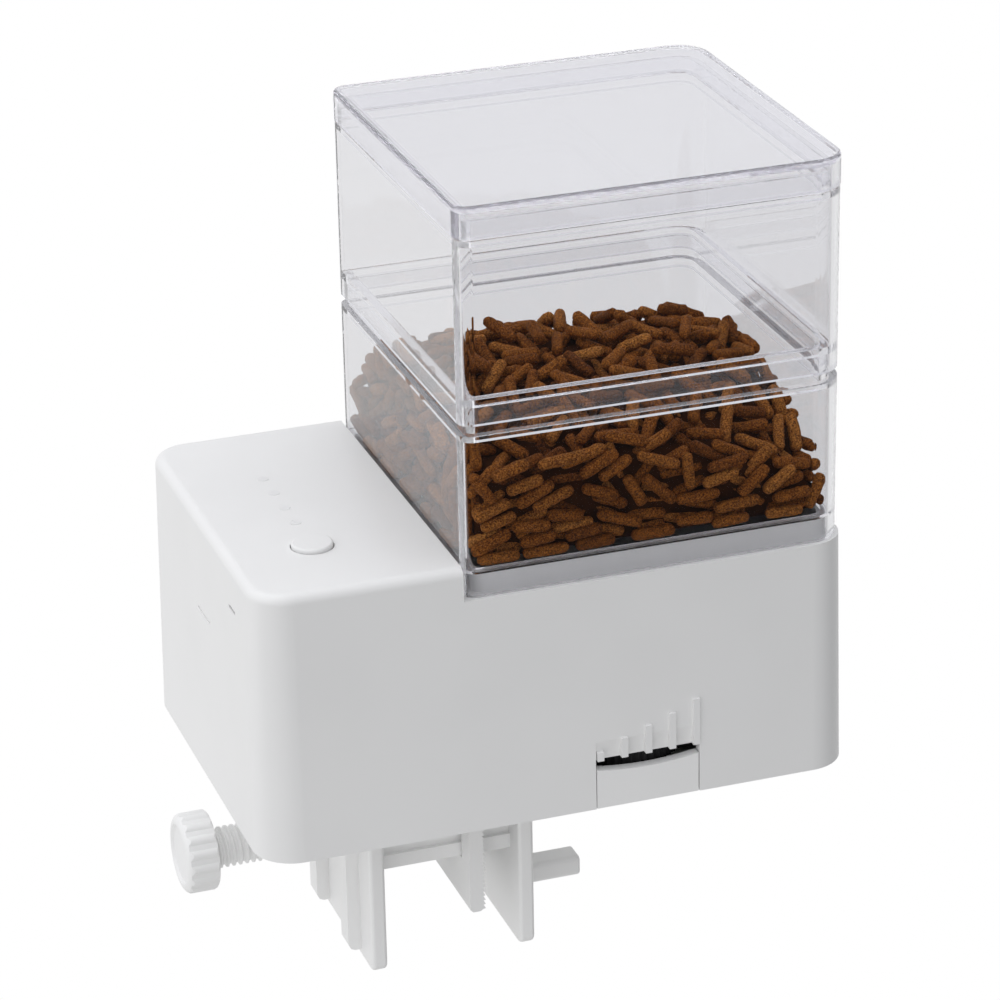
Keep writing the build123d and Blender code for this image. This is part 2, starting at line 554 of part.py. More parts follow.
# ---------------------------------------------------------------- quantity adjustment
with BuildPart(BASE) as quantity_wheel:
    with BuildSketch(level(WHEEL_Z0)):
        with BuildLine():
            rim = []
            for k in range(96):
                a = 2 * math.pi * k / 96
                r = WHEEL_R if k % 2 else WHEEL_R - 0.55
                rim.append((WHEEL_X + r * math.cos(a), WHEEL_Y + r * math.sin(a)))
            Polyline(*rim, close=True)
        make_face()
    extrude(amount=WHEEL_Z1 - WHEEL_Z0)
    with BuildSketch(level(WHEEL_Z0 - 4.0)):
        with BuildLine():
            Polyline(*tooth_outline(GATE_TEETH, WHEEL_X, WHEEL_Y), close=True)
        make_face()
    extrude(amount=4.0)
    post(WHEEL_X, WHEEL_Y, 0, 12, 2.05, Mode.SUBTRACT)
quantity_wheel.part.label = "quantity_wheel"
export_step(quantity_wheel.part, "parts/quantity_wheel.step")

with BuildPart(BASE) as wheel_clip:
    with BuildSketch(level(WHEEL_Z1 + 0.2)):
        with Locations((WHEEL_X, WHEEL_Y)):
            Circle(3.8)
            Circle(2.0, mode=Mode.SUBTRACT)
    extrude(amount=0.7)
wheel_clip.part.label = "wheel_clip"
export_step(wheel_clip.part, "parts/wheel_clip.step")

with BuildPart(BASE) as quantity_gate:
    rack_x = WHEEL_X + MODULE * GATE_TEETH / 2
    step = math.pi * MODULE
    with BuildSketch(level(GATE_Z0)):
        with BuildLine():
            points = [(72.6, 27.5), (72.6, 42.0), (93.4, 42.0), (93.4, 27.5), (91.4, 25.5),
                      (91.4, 8.0), (rack_x + 0.7, 8.0)]
            # rack teeth: a gap of the rack faces each tooth of the wheel's pinion
            for k in range(-3, 5):
                y = WHEEL_Y + step * (k - 0.5)
                points += [(rack_x + 0.63, y - 0.63), (rack_x - 0.48, y - 0.23),
                           (rack_x - 0.48, y + 0.23), (rack_x + 0.63, y + 0.63)]
            points.append((rack_x + 0.7, 27.5))
            Polyline(*points, close=True)
        make_face()
    extrude(amount=GATE_Z1 - GATE_Z0)
quantity_gate.part.label = "quantity_gate"
export_step(quantity_gate.part, "parts/quantity_gate.step")

# ---------------------------------------------------------------- button, lights, board
with BuildPart(BASE) as feed_button:
    post(BUTTON_X, BUTTON_Y, 54.6, H + 0.9, BUTTON_R)
    fillet(feed_button.faces().sort_by(Axis.Z)[-1].edges(), 0.5)
    post(BUTTON_X, BUTTON_Y, 53.5, 54.6, 5.6)
    post(BUTTON_X, BUTTON_Y, 50.2, 53.5, 1.3)
feed_button.part.label = "feed_button"
export_step(feed_button.part, "parts/feed_button.step")

with BuildPart(BASE) as button_spring:
    foot = (BUTTON_X - ORIGIN[0], BUTTON_Y - ORIGIN[1], BOARD_Z + 0.35 - ORIGIN[2])
    with BuildLine():
        coil = Helix(1.42, 7.1, 4.85, center=foot)
    with BuildSketch(Plane(origin=coil @ 0, z_dir=coil % 0)):
        Circle(0.28)
    sweep(path=coil, is_frenet=True)
button_spring.part.label = "button_spring"
export_step(button_spring.part, "parts/button_spring.step")

with BuildPart(BASE) as indicator_lenses:
    for k in range(4):
        post(LIGHT_X, LIGHT_Y + LIGHT_PITCH * k, 49.0, H + 0.05, LIGHT_R)
        post(LIGHT_X, LIGHT_Y + LIGHT_PITCH * k, 49.0, H - WALL, LIGHT_R + 0.6)
indicator_lenses.part.label = "indicator_lenses"
export_step(indicator_lenses.part, "parts/indicator_lenses.step")

with BuildPart(BASE) as control_board:
    block(5.6, 38.4, 9.6, 74.4, BOARD_Z - 1.6, BOARD_Z)
    for x in (9, 35):
        for y in (13, 71):
            post(x, y, BOARD_Z - 3, BOARD_Z + 1, 1.0, Mode.SUBTRACT)
control_board.part.label = "control_board"
export_step(control_board.part, "parts/control_board.step")

with BuildPart(BASE) as board_chips:
    block(22, 32, 40, 50, BOARD_Z, BOARD_Z + 1.6)
    block(27, 33, 24, 29, BOARD_Z, BOARD_Z + 1.4)
    block(26, 35, 60, 66, BOARD_Z, BOARD_Z + 4.5)
    for k in range(4):
        y = LIGHT_Y + LIGHT_PITCH * k
        block(LIGHT_X - 1.0, LIGHT_X + 1.0, y - 0.8, y + 0.8, BOARD_Z, BOARD_Z + 1.1)
board_chips.part.label = "board_chips"
export_step(board_chips.part, "parts/board_chips.step")

with BuildPart(BASE) as tact_switch:
    block(BUTTON_X - 3, BUTTON_X + 3, BUTTON_Y - 3, BUTTON_Y + 3, BOARD_Z, BOARD_Z + 3.2)
    post(BUTTON_X, BUTTON_Y, BOARD_Z + 3.2, BOARD_Z + 3.8, 1.7)
tact_switch.part.label = "tact_switch"
export_step(tact_switch.part, "parts/tact_switch.step")

with BuildPart(BASE) as board_screws:
    for x in (9, 35):
        for y in (13, 71):
            post(x, y, BOARD_Z - 2.8, BOARD_Z - 1.6, 1.7)
            post(x, y, BOARD_Z - 1.6, BOARD_Z + 4.5, 0.8)
board_screws.part.label = "board_screws"
export_step(board_screws.part, "parts/board_screws.step")

# ---------------------------------------------------------------- batteries and door
with BuildPart(BASE) as battery_tray:
    block(12.0, 37.0, 31.2, 79.4, 5.8, 20.2)
    block(13.2, 35.8, 32.4, 80.0, 7.0, 19.0, Mode.SUBTRACT)
    for y in (36, 70):
        block(14, 30, y, y + 4, WALL, 6.0)
battery_tray.part.label = "battery_tray"
export_step(battery_tray.part, "parts/battery_tray.step")

with BuildPart(BASE) as battery_cells:
    for x, way in zip(CELL_XS, (1, -1)):
        y = CELL_Y + (0.0 if way > 0 else 1.0)
        bar(x, y, y + CELL_L - 1.0, CELL_Z, CELL_R)
        nub = y + CELL_L - 1.0 if way > 0 else y - 1.0
        bar(x, nub, nub + 1.0, CELL_Z, 1.9)
battery_cells.part.label = "battery_cells"
export_step(battery_cells.part, "parts/battery_cells.step")

with BuildPart(BASE) as tray_contacts:
    for x in CELL_XS:
        block(x - 4.2, x + 4.2, 32.5, 32.9, 8.0, 17.8)
    post_x = CELL_XS[0]
    for k, r in enumerate((3.6, 3.0, 2.4)):
        bar(post_x, 32.9 + 0.8 * k, 33.7 + 0.8 * k, CELL_Z, r)
    bar(CELL_XS[1], 32.9, 34.2, CELL_Z, 2.0)
tray_contacts.part.label = "tray_contacts"
export_step(tray_contacts.part, "parts/tray_contacts.step")

with BuildPart(BASE) as battery_door:
    rod(13.0, 36.0, DOOR_Y, DOOR_Z, 1.35)
    rod(11.0, 38.0, DOOR_Y, DOOR_Z, 0.9)
    block(13.0, 36.0, 81.75, 83.45, DOOR_Z, 19.6)
    # finger ridges on the outside
    for z in (15.2, 16.6, 18.0):
        block(20.5, 28.5, 83.4, 83.75, z, z + 0.6)
battery_door.part.label = "battery_door"
export_step(battery_door.part, "parts/battery_door.step")

with BuildPart(BASE) as door_contact:
    block(14.6, 34.4, 81.35, 81.75, 9.8, 16.4)
    for x in CELL_XS:
        bar(x, 80.5, 81.35, CELL_Z, 2.0)
door_contact.part.label = "door_contact"
export_step(door_contact.part, "parts/door_contact.step")
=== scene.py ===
import math

import bpy
import numpy as np
from mathutils import Matrix, Vector


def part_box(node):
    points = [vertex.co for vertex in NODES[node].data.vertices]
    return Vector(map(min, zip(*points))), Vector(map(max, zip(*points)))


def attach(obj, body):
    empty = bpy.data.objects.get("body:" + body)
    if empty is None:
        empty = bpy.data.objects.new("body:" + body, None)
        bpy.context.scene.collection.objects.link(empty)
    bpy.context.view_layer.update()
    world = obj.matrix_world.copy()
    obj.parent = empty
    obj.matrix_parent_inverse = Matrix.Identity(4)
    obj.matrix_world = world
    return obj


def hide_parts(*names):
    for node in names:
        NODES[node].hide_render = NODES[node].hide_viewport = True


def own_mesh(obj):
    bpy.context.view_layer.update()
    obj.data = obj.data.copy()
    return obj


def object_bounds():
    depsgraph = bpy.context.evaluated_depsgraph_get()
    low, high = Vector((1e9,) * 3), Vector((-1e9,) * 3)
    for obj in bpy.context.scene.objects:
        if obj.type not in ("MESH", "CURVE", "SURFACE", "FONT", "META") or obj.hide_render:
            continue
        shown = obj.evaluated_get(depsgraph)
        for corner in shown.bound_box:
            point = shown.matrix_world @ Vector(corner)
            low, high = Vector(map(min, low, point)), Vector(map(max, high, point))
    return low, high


# Looks of the automatic fish feeder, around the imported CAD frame. Metres, Z up, front at -Y.

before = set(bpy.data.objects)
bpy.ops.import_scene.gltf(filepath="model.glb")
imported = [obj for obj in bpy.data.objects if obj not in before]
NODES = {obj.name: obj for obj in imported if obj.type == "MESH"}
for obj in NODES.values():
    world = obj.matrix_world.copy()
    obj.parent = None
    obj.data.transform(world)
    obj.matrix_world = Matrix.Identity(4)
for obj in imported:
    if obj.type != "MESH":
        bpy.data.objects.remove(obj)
CAD_BOX = [list(corner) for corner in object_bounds()]
MM = 0.001


# ---------------------------------------------------------------- material helpers
class Nodes:
    """A material's node tree with short calls for the nodes used here."""

    def __init__(self, name):
        self.material = bpy.data.materials.new(name)
        self.material.use_nodes = True
        self.tree = self.material.node_tree
        self.tree.nodes.clear()
        self.out = self.tree.nodes.new("ShaderNodeOutputMaterial")
        coordinates = self.tree.nodes.new("ShaderNodeTexCoord")
        coordinates.name = "Texture Coordinate"
        self.place = coordinates.outputs["Object"]

    def link(self, source, socket):
        self.tree.links.new(source, socket)

    def noise(self, scale, detail=3.0, rough=0.5, stretch=None):
        node = self.tree.nodes.new("ShaderNodeTexNoise")
        node.inputs["Scale"].default_value = scale
        node.inputs["Detail"].default_value = detail
        node.inputs["Roughness"].default_value = rough
        source = self.place
        if stretch:
            mapping = self.tree.nodes.new("ShaderNodeMapping")
            mapping.inputs["Scale"].default_value = stretch
            self.link(source, mapping.inputs["Vector"])
            source = mapping.outputs["Vector"]
        self.link(source, node.inputs["Vector"])
        return node.outputs["Fac"]

    def ramp(self, source, low, high, from_low=0.3, from_high=0.7):
        node = self.tree.nodes.new("ShaderNodeMapRange")
        node.inputs["From Min"].default_value = from_low
        node.inputs["From Max"].default_value = from_high
        node.inputs["To Min"].default_value = low
        node.inputs["To Max"].default_value = high
        self.link(source, node.inputs["Value"])
        return node.outputs["Result"]

    def colours(self, source, *stops):
        node = self.tree.nodes.new("ShaderNodeValToRGB")
        ramp = node.color_ramp
        while len(ramp.elements) < len(stops):
            ramp.elements.new(0.5)
        for element, (at, colour) in zip(ramp.elements, stops):
            element.position = at
            element.color = (*colour, 1.0)
        self.link(source, node.inputs["Fac"])
        return node.outputs["Color"]

    def larger(self, a, b):
        node = self.tree.nodes.new("ShaderNodeMath")
        node.operation = "MAXIMUM"
        self.link(a, node.inputs[0])
        self.link(b, node.inputs[1])
        return node.outputs["Value"]

    def bump(self, height, distance, strength=1.0):
        node = self.tree.nodes.new("ShaderNodeBump")
        node.inputs["Distance"].default_value = distance
        node.inputs["Strength"].default_value = strength
        self.link(height, node.inputs["Height"])
        return node.outputs["Normal"]

    def principled(self, **values):
        node = self.tree.nodes.new("ShaderNodeBsdfPrincipled")
        for name, value in values.items():
            node.inputs[name.replace("_", " ")].default_value = value
        self.link(node.outputs["BSDF"], self.out.inputs["Surface"])
        return node


def moulded(name, colour, roughness, grain, **extra):
    """Injection-moulded plastic: faint flow marks in the colour, uneven gloss, a fine skin texture."""
    m = Nodes(name)
    shader = m.principled(IOR=1.5, **extra)
    dim = tuple(c * 0.98 for c in colour)
    m.link(m.colours(m.noise(45, 4), (0.3, dim), (0.62, colour)), shader.inputs["Base Color"])
    gloss = m.ramp(m.noise(60, 3, 0.5), roughness * 0.92, roughness * 1.1)
    m.link(gloss, shader.inputs["Roughness"])
    m.link(m.bump(m.noise(2600, 2), grain, 0.5), shader.inputs["Normal"])
    return m.material


def clear_plastic(name, tint, haziness):
    """Clear polystyrene: lamps shine through it, its cut edges gather a lavender tint, and haziness
    is the share of light that its skin scatters."""
    m = Nodes(name)
    shader = m.principled(IOR=1.49, Transmission_Weight=1.0, Base_Color=(*tint, 1.0))
    m.link(m.ramp(m.noise(70, 4), 0.0, 0.012), shader.inputs["Roughness"])
    scuffs = m.noise(24, 4, 0.5, (1.0, 1.0, 0.25))
    m.link(m.bump(scuffs, 0.00003, 0.3), shader.inputs["Normal"])
    haze = m.tree.nodes.new("ShaderNodeBsdfDiffuse")
    haze.inputs["Color"].default_value = (0.82, 0.81, 0.88, 1.0)
    hazy = m.tree.nodes.new("ShaderNodeMixShader")
    hazy.inputs["Fac"].default_value = haziness
    m.link(shader.outputs["BSDF"], hazy.inputs[1])
    m.link(haze.outputs["BSDF"], hazy.inputs[2])
    open_to_lamps = m.tree.nodes.new("ShaderNodeBsdfTransparent")
    open_to_lamps.inputs["Color"].default_value = (*(c ** 0.5 for c in tint), 1.0)
    path = m.tree.nodes.new("ShaderNodeLightPath")
    mix = m.tree.nodes.new("ShaderNodeMixShader")
    m.link(path.outputs["Is Shadow Ray"], mix.inputs["Fac"])
    m.link(hazy.outputs["Shader"], mix.inputs[1])
    m.link(open_to_lamps.outputs["BSDF"], mix.inputs[2])
    m.link(mix.outputs["Shader"], m.out.inputs["Surface"])
    return m.material


def metal(name, colour, roughness, brushed=(1.0, 1.0, 12.0)):
    """Plated metal with fine drawing lines and slight tarnish."""
    m = Nodes(name)
    shader = m.principled(Metallic=1.0)
    dull = tuple(c * 0.8 for c in colour)
    m.link(m.colours(m.noise(300, 4), (0.35, dull), (0.6, colour)), shader.inputs["Base Color"])
    lines = m.noise(900, 3, 0.6, brushed)
    m.link(m.ramp(lines, roughness * 0.7, roughness * 1.4), shader.inputs["Roughness"])
    m.link(m.bump(lines, 0.00003, 0.4), shader.inputs["Normal"])
    return m.material


def circuit_board():
    """Green solder mask with darker copper areas under it."""
    m = Nodes("board_mask")
    shader = m.principled(IOR=1.5, Coat_Weight=0.3, Coat_Roughness=0.2)
    tracks = m.noise(420, 1, 0.3, (1.0, 0.3, 1.0))
    mask = m.colours(tracks, (0.45, (0.010, 0.085, 0.030)), (0.5, (0.022, 0.155, 0.055)))
    m.link(mask, shader.inputs["Base Color"])
    m.link(m.ramp(m.noise(300), 0.3, 0.45), shader.inputs["Roughness"])
    m.link(m.bump(tracks, 0.00004, 0.5), shader.inputs["Normal"])
    return m.material


def cell_wrap():
    """Battery cell: dark shrink wrap with a plain grey band."""
    m = Nodes("cell_wrap")
    shader = m.principled(IOR=1.5, Metallic=0.3, Coat_Weight=0.5, Coat_Roughness=0.15)
    split = m.tree.nodes.new("ShaderNodeSeparateXYZ")
    m.link(m.place, split.inputs["Vector"])
    band = m.ramp(split.outputs["Y"], 0, 1, 0.019, 0.0192)
    m.link(m.colours(band, (0.4, (0.03, 0.035, 0.05)), (0.6, (0.35, 0.36, 0.38))),
           shader.inputs["Base Color"])
    m.link(m.ramp(m.noise(350), 0.25, 0.4), shader.inputs["Roughness"])
    m.link(m.bump(m.noise(900), 0.00002, 0.4), shader.inputs["Normal"])
    return m.material


def food():
    """Extruded food stick: rough brown crumb with pale and dark specks, each stick its own shade."""
    m = Nodes("food")
    shader = m.principled(IOR=1.4, Specular_IOR_Level=0.14)
    attribute = m.tree.nodes.new("ShaderNodeAttribute")
    attribute.attribute_name = "shade"
    base = m.colours(attribute.outputs["Fac"], (0.0, (0.085, 0.025, 0.005)),
                     (0.5, (0.200, 0.068, 0.012)), (1.0, (0.370, 0.155, 0.040)))
    specks = m.colours(m.noise(3000, 4, 0.75), (0.38, (0.22, 0.18, 0.15)), (0.5, (0.90, 0.88, 0.82)),
                       (0.62, (2.1, 2.0, 1.6)))
    mix = m.tree.nodes.new("ShaderNodeMix")
    mix.data_type = "RGBA"
    mix.blend_type = "MULTIPLY"
    mix.inputs["Factor"].default_value = 1.0
    m.link(base, mix.inputs[6])
    m.link(specks, mix.inputs[7])
    m.link(mix.outputs[2], shader.inputs["Base Color"])
    m.link(m.ramp(m.noise(900), 0.62, 0.85), shader.inputs["Roughness"])
    m.link(m.bump(m.noise(1700, 6, 0.65), 0.00025, 0.8), shader.inputs["Normal"])
    return m.material


WHITE = (0.80, 0.80, 0.795)
housing_white = moulded("housing_white", WHITE, 0.30, 0.000006)
satin_white = moulded("satin_white", (0.83, 0.83, 0.825), 0.36, 0.000012)
acetal = moulded("acetal", (0.74, 0.73, 0.68), 0.42, 0.00002)
black = moulded("wheel_black", (0.012, 0.012, 0.013), 0.55, 0.00004)
chip_black = moulded("chip_black", (0.02, 0.02, 0.022), 0.5, 0.00003)
milky = moulded("milky_lens", (0.80, 0.80, 0.80), 0.28, 0.00001, Transmission_Weight=0.06)
LAVENDER_TINT = (0.955, 0.955, 0.972)
clear = clear_plastic("clear_polystyrene", LAVENDER_TINT, 0.002)
clear_lid = clear_plastic("clear_lid", LAVENDER_TINT, 0.045)
zinc = metal("zinc_plate", (0.60, 0.60, 0.61), 0.32)
nickel = metal("nickel_wire", (0.68, 0.66, 0.62), 0.25)

FINISH = {
    housing_white: ["housing_shell", "feed_button"],
    satin_white: ["bottom_cover", "clamp_bracket", "moving_jaw", "clamp_screw", "clamp_knob",
                  "feed_funnel", "drum_cap", "motor_strap", "battery_tray", "battery_door"],
    acetal: ["dosing_rotor", "rotor_gear", "motor_pinion", "quantity_gate"],
    black: ["quantity_wheel"],
    chip_black: ["board_chips", "tact_switch"],
    milky: ["indicator_lenses"],
    clear: ["lower_bin", "extension_ring"],
    clear_lid: ["lid"],
    zinc: ["cover_screws", "bracket_screws", "strap_screws", "board_screws", "gear_motor",
           "motor_shaft"],
    nickel: ["button_spring", "wheel_clip", "screw_ring", "tray_contacts", "door_contact"],
    circuit_board(): ["control_board"],
    cell_wrap(): ["battery_cells"],
}
for material, names in FINISH.items():
    for name in names:
        NODES[name].data.materials.clear()
        NODES[name].data.materials.append(material)

# The button's spring shortens as the button goes down, so a copy with its own mesh, attached to the
# housing, stands for it.
coil = bpy.data.objects.new("sprung_coil", NODES["button_spring"].data.copy())
bpy.context.scene.collection.objects.link(coil)
coil.matrix_world = NODES["button_spring"].matrix_world
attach(coil, "housing")
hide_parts("button_spring")
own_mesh(coil)


# ---------------------------------------------------------------- food in the hopper
STICK_R = 1.3 * MM
STICK_HALF = 3.3 * MM  # half the length between the centres of a stick's round ends
WALL = 1.7 * MM
BED = 5.3 * MM  # height of the lowest food above the bin's lower edge
INNER_R = 5.3 * MM  # the bin's right corners, inside
rng = np.random.default_rng(7)
bin_low, bin_high = (np.array(corner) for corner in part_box("lower_bin"))
inner_low = bin_low + [WALL, WALL, BED]
inner_high = bin_high - [WALL, WALL, 0.0]
peak = bin_low + np.array([36.8, 50.2, 33.4]) * MM


def steepness(x, y):
    """How fast the heap falls from its peak along x and along y, in 1/m."""
    to_right = min(max((x - peak[0]) / (42 * MM), 0.0), 1.0)
    along_x = 1.5 + 2.7 * to_right
    along_y = 24.0 if y > peak[1] else 3.5 + 4.1 * to_right
    return along_x, along_y


def heap_top(x, y):
    """Height of the heap's surface: a mound that falls to the right, the front and the back."""
    along_x, along_y = steepness(x, y)
    return peak[2] - along_x * (x - peak[0]) ** 2 - along_y * (y - peak[1]) ** 2


def past_corner(end):
    """Whether a stick's end would press into one of the bin's two rounded right corners."""
    over_x = end[0] - (inner_high[0] - INNER_R)
    over_y = max(inner_low[1] + INNER_R - end[1], end[1] - (inner_high[1] - INNER_R))
    return over_x > 0 and over_y > 0 and math.hypot(over_x, over_y) > INNER_R - STICK_R


def segment_gaps(a, b, many_a, many_b):
    """Distances between the segment a-b and many segments."""
    d1, d2, r = b - a, many_b - many_a, a - many_a
    e11, e22 = d1 @ d1, np.einsum("ij,ij->i", d2, d2)
    f, c, e12 = np.einsum("ij,ij->i", d2, r), r @ d1, d2 @ d1
    s = np.clip((e12 * f - c * e22) / np.maximum(e11 * e22 - e12 * e12, 1e-18), 0, 1)
    t = np.clip((e12 * s + f) / e22, 0, 1)
    s = np.clip((e12 * t - c) / e11, 0, 1)
    gap = (a + s[:, None] * d1) - (many_a + t[:, None] * d2)
    return np.linalg.norm(gap, axis=1)


starts, ends = [], []


def throw(tries, spot, spread, closeness):
    """Adds sticks at random places in the bin, up to spread above the heap's surface. They stay
    apart from those already there by closeness, a share of their thickness."""
    for _ in range(tries):
        centre, along = spot()
        half = along / np.linalg.norm(along) * STICK_HALF * rng.uniform(0.8, 1.15)
        a, b = centre - half, centre + half
        low, high = np.minimum(a, b), np.maximum(a, b)
        if (low < inner_low + STICK_R).any() or (high[:2] > inner_high[:2] - STICK_R).any():
            continue
        if past_corner(a) or past_corner(b):
            continue
        roof = min(heap_top(a[0], a[1]) - a[2], heap_top(b[0], b[1]) - b[2])
        if roof < -spread:
            continue
        if starts:
            gaps = segment_gaps(a, b, np.array(starts), np.array(ends))
            if gaps.min() < 2 * STICK_R * closeness:
                continue
        starts.append(a)
        ends.append(b)


def on_top(depth):
    """A stick lying on the mound, some way below its surface."""
    x, y = rng.uniform(inner_low[:2] + STICK_R, inner_high[:2] - STICK_R)
    turn, tip = rng.uniform(0, 2 * math.pi), rng.normal(0, 0.28)
    fall_x, fall_y = steepness(x, y)
    along = np.array([math.cos(turn), math.sin(turn), tip])
    along[2] -= 2 * fall_x * (x - peak[0]) * along[0] + 2 * fall_y * (y - peak[1]) * along[1]
    z = heap_top(x, y) - rng.uniform(*depth)
    return np.array([x, y, z]), along


def at_wall(axis, side, depth, height=1.0, lean=0.75):
    """A stick leaning flat against one wall of the bin, up to a share of the heap's height."""
    centre = rng.uniform(inner_low + STICK_R, inner_high - STICK_R)
    inset = STICK_R + rng.uniform(*depth)
    centre[axis] = inner_low[axis] + inset if side < 0 else inner_high[axis] - inset
    lowest = inner_low[2] + STICK_R
    top = lowest + height * (heap_top(centre[0], centre[1]) - lowest)
    centre[2] = rng.uniform(lowest, top)
    turn = rng.normal(0, lean) + (math.pi if rng.random() < 0.5 else 0)
    along = np.zeros(3)
    along[1 - axis], along[2] = math.cos(turn), math.sin(turn)
    along[axis] = rng.normal(0, 0.10)
    return centre, along


# A row along the bottom of each wall, the wall's own layer, the layer behind it, then the top.
for axis, side in ((1, -1), (0, -1), (0, 1), (1, 1)):
    throw(500, lambda: at_wall(axis, side, (0.0, 0.2 * MM), 0.01, 0.06), 0.0, 0.86)
    throw(700, lambda: at_wall(axis, side, (0.0, 0.4 * MM), 0.12, 0.15), 0.0, 0.86)
    throw(5200, lambda: at_wall(axis, side, (0.0, 0.5 * MM)), 1.2 * MM, 0.82)
    throw(900, lambda: at_wall(axis, side, (1.5 * MM, 3.0 * MM), 0.10, 0.2), 0.0, 0.70)
    throw(3600, lambda: at_wall(axis, side, (1.2 * MM, 3.2 * MM)), 1.2 * MM, 0.70)
throw(4600, lambda: on_top((0.0, 1.6 * MM)), 1.4 * MM, 0.88)
throw(4600, lambda: on_top((1.2 * MM, 4.5 * MM)), 1.0 * MM, 0.78)
throw(500, lambda: on_top((-1.8 * MM, -0.6 * MM)), 3.2 * MM, 0.93)


def stick_mesh(a, b, sides=10, rings=9):
    """Points and faces of one stick: blunt rounded ends, a slight bend, uneven girth."""
    along = b - a
    length = np.linalg.norm(along)
    along = along / length
    across = np.cross(along, [0.3, 0.5, 0.81])
    across /= np.linalg.norm(across)
    other = np.cross(along, across)
    bend = rng.normal(0, 0.28 * MM)
    girth = STICK_R * rng.uniform(0.88, 1.0)
    points = []
    for k in range(rings):
        t = -1 + 2 * k / (rings - 1)
        reach = math.copysign(1 - (1 - abs(t)) ** 1.6, t)
        cap = math.sqrt(1 - (max(0.0, abs(reach) - 0.76) / 0.24) ** 2 * 0.84)
        radius = girth * cap
        middle = (a + b) / 2 + along * reach * (length / 2 + STICK_R * 0.8)
        middle = middle + across * bend * (reach ** 2 - 0.4)
        for n in range(sides):
            angle = 2 * math.pi * n / sides
            r = radius * (1 + rng.normal(0, 0.045))
            points.append(middle + r * (math.cos(angle) * across + math.sin(angle) * other))
    faces = []
    for k in range(rings - 1):
        for n in range(sides):
            m = (n + 1) % sides
            faces.append((k * sides + n, k * sides + m, (k + 1) * sides + m, (k + 1) * sides + n))
    faces.append(tuple(reversed(range(sides))))
    faces.append(tuple(range((rings - 1) * sides, rings * sides)))
    return points, faces


def new_object(name, points, faces, material, smooth=True):
    mesh = bpy.data.meshes.new(name)
    mesh.from_pydata([tuple(p) for p in points], [], faces)
    mesh.validate()
    if smooth:
        mesh.polygons.foreach_set("use_smooth", [True] * len(mesh.polygons))
    mesh.materials.append(material)
    made = bpy.data.objects.new(name, mesh)
    bpy.context.scene.collection.objects.link(made)
    return made


food_material = food()
points, faces, shades = [], [], []
for a, b in zip(starts, ends):
    own_points, own_faces = stick_mesh(a, b)
    first = len(points)
    points += own_points
    faces += [tuple(first + i for i in face) for face in own_faces]
    shades += [float(np.clip(rng.normal(0.5, 0.2), 0, 1))] * len(own_points)
sticks = new_object("food_sticks", points, faces, food_material)
shade = sticks.data.attributes.new("shade", "FLOAT", "POINT")
shade.data.foreach_set("value", shades)
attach(sticks, "lower_bin")

# the food mass under the visible sticks, one closed sheet coloured near-black brown: painted shade
# deep in the heap
CELLS = 22
depth = 3.4 * MM
xs = np.linspace(inner_low[0] + depth, inner_high[0] - depth, CELLS)
ys = np.linspace(inner_low[1] + depth, inner_high[1] - depth, CELLS)
floor_z = inner_low[2] + 0.4 * MM
top = [(x, y, max(heap_top(x, y) - depth + rng.normal(0, 0.3 * MM), floor_z + 0.5 * MM))
       for y in ys for x in xs]
bottom = [(x, y, floor_z) for x, y, _ in top]
count = CELLS * CELLS
grid = [(r * CELLS + c, r * CELLS + c + 1, (r + 1) * CELLS + c + 1, (r + 1) * CELLS + c)
        for r in range(CELLS - 1) for c in range(CELLS - 1)]
faces = grid + [tuple(count + i for i in reversed(face)) for face in grid]
edge = ([c for c in range(CELLS)] + [r * CELLS + CELLS - 1 for r in range(1, CELLS)]
        + [(CELLS - 1) * CELLS + c for c in range(CELLS - 2, -1, -1)]
        + [r * CELLS for r in range(CELLS - 2, 0, -1)])
for k, i in enumerate(edge):
    j = edge[(k + 1) % len(edge)]
    faces.append((i, count + i, count + j, j))
# painted shade: this near-black brown stands for the shade between and beneath the sticks
shadow = moulded("food_shadow", (0.040, 0.012, 0.003), 0.9, 0.0002, Specular_IOR_Level=0.05)
core = new_object("food_core_in_painted_shade", top + bottom, faces, shadow)
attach(core, "lower_bin")


# ---------------------------------------------------------------- stage, lights, camera
def soft_light(name, place, aim, width, height, power, colour=(1.0, 1.0, 1.0)):
    data = bpy.data.lights.new(name, "AREA")
    data.shape = "RECTANGLE"
    data.size, data.size_y = width, height
    data.energy = power
    data.color = colour
    lamp = bpy.data.objects.new(name, data)
    lamp.location = place
    lamp.rotation_euler = (Vector(aim) - Vector(place)).to_track_quat("-Z", "Y").to_euler()
    bpy.context.scene.collection.objects.link(lamp)
    return lamp


low, high = (Vector(corner) for corner in CAD_BOX)
middle = (low + high) / 2

# The floor is plain white to the camera. It lights the object less from the right. Glossy and
# clear surfaces show it greyer, and a single wall shows it dark in front. Only its top is seen.
FLOOR_GAP = 0.10
FLOOR_HALF = 6.0
FLOOR_FRONT, FLOOR_BACK = 0.015, 0.82
FLOOR_LEFT, FLOOR_RIGHT = 0.97, 0.03
m = Nodes("studio_floor")
position = m.tree.nodes.new("ShaderNodeNewGeometry").outputs["Position"]
axes = m.tree.nodes.new("ShaderNodeSeparateXYZ")
m.link(position, axes.inputs["Vector"])
path = m.tree.nodes.new("ShaderNodeLightPath")
glow = m.tree.nodes.new("ShaderNodeEmission")
glow.inputs["Color"].default_value = (1.0, 1.0, 1.0, 1.0)
by_ray = m.tree.nodes.new("ShaderNodeMix")
m.link(path.outputs["Diffuse Depth"], by_ray.inputs["Factor"])
seen_through = m.ramp(path.outputs["Transmission Depth"], 0.0, FLOOR_BACK, 2.0, 3.0)
dim_in_front = m.ramp(axes.outputs["Y"], FLOOR_FRONT, FLOOR_BACK, -0.12, 0.10)
m.link(m.larger(dim_in_front, seen_through), by_ray.inputs["A"])
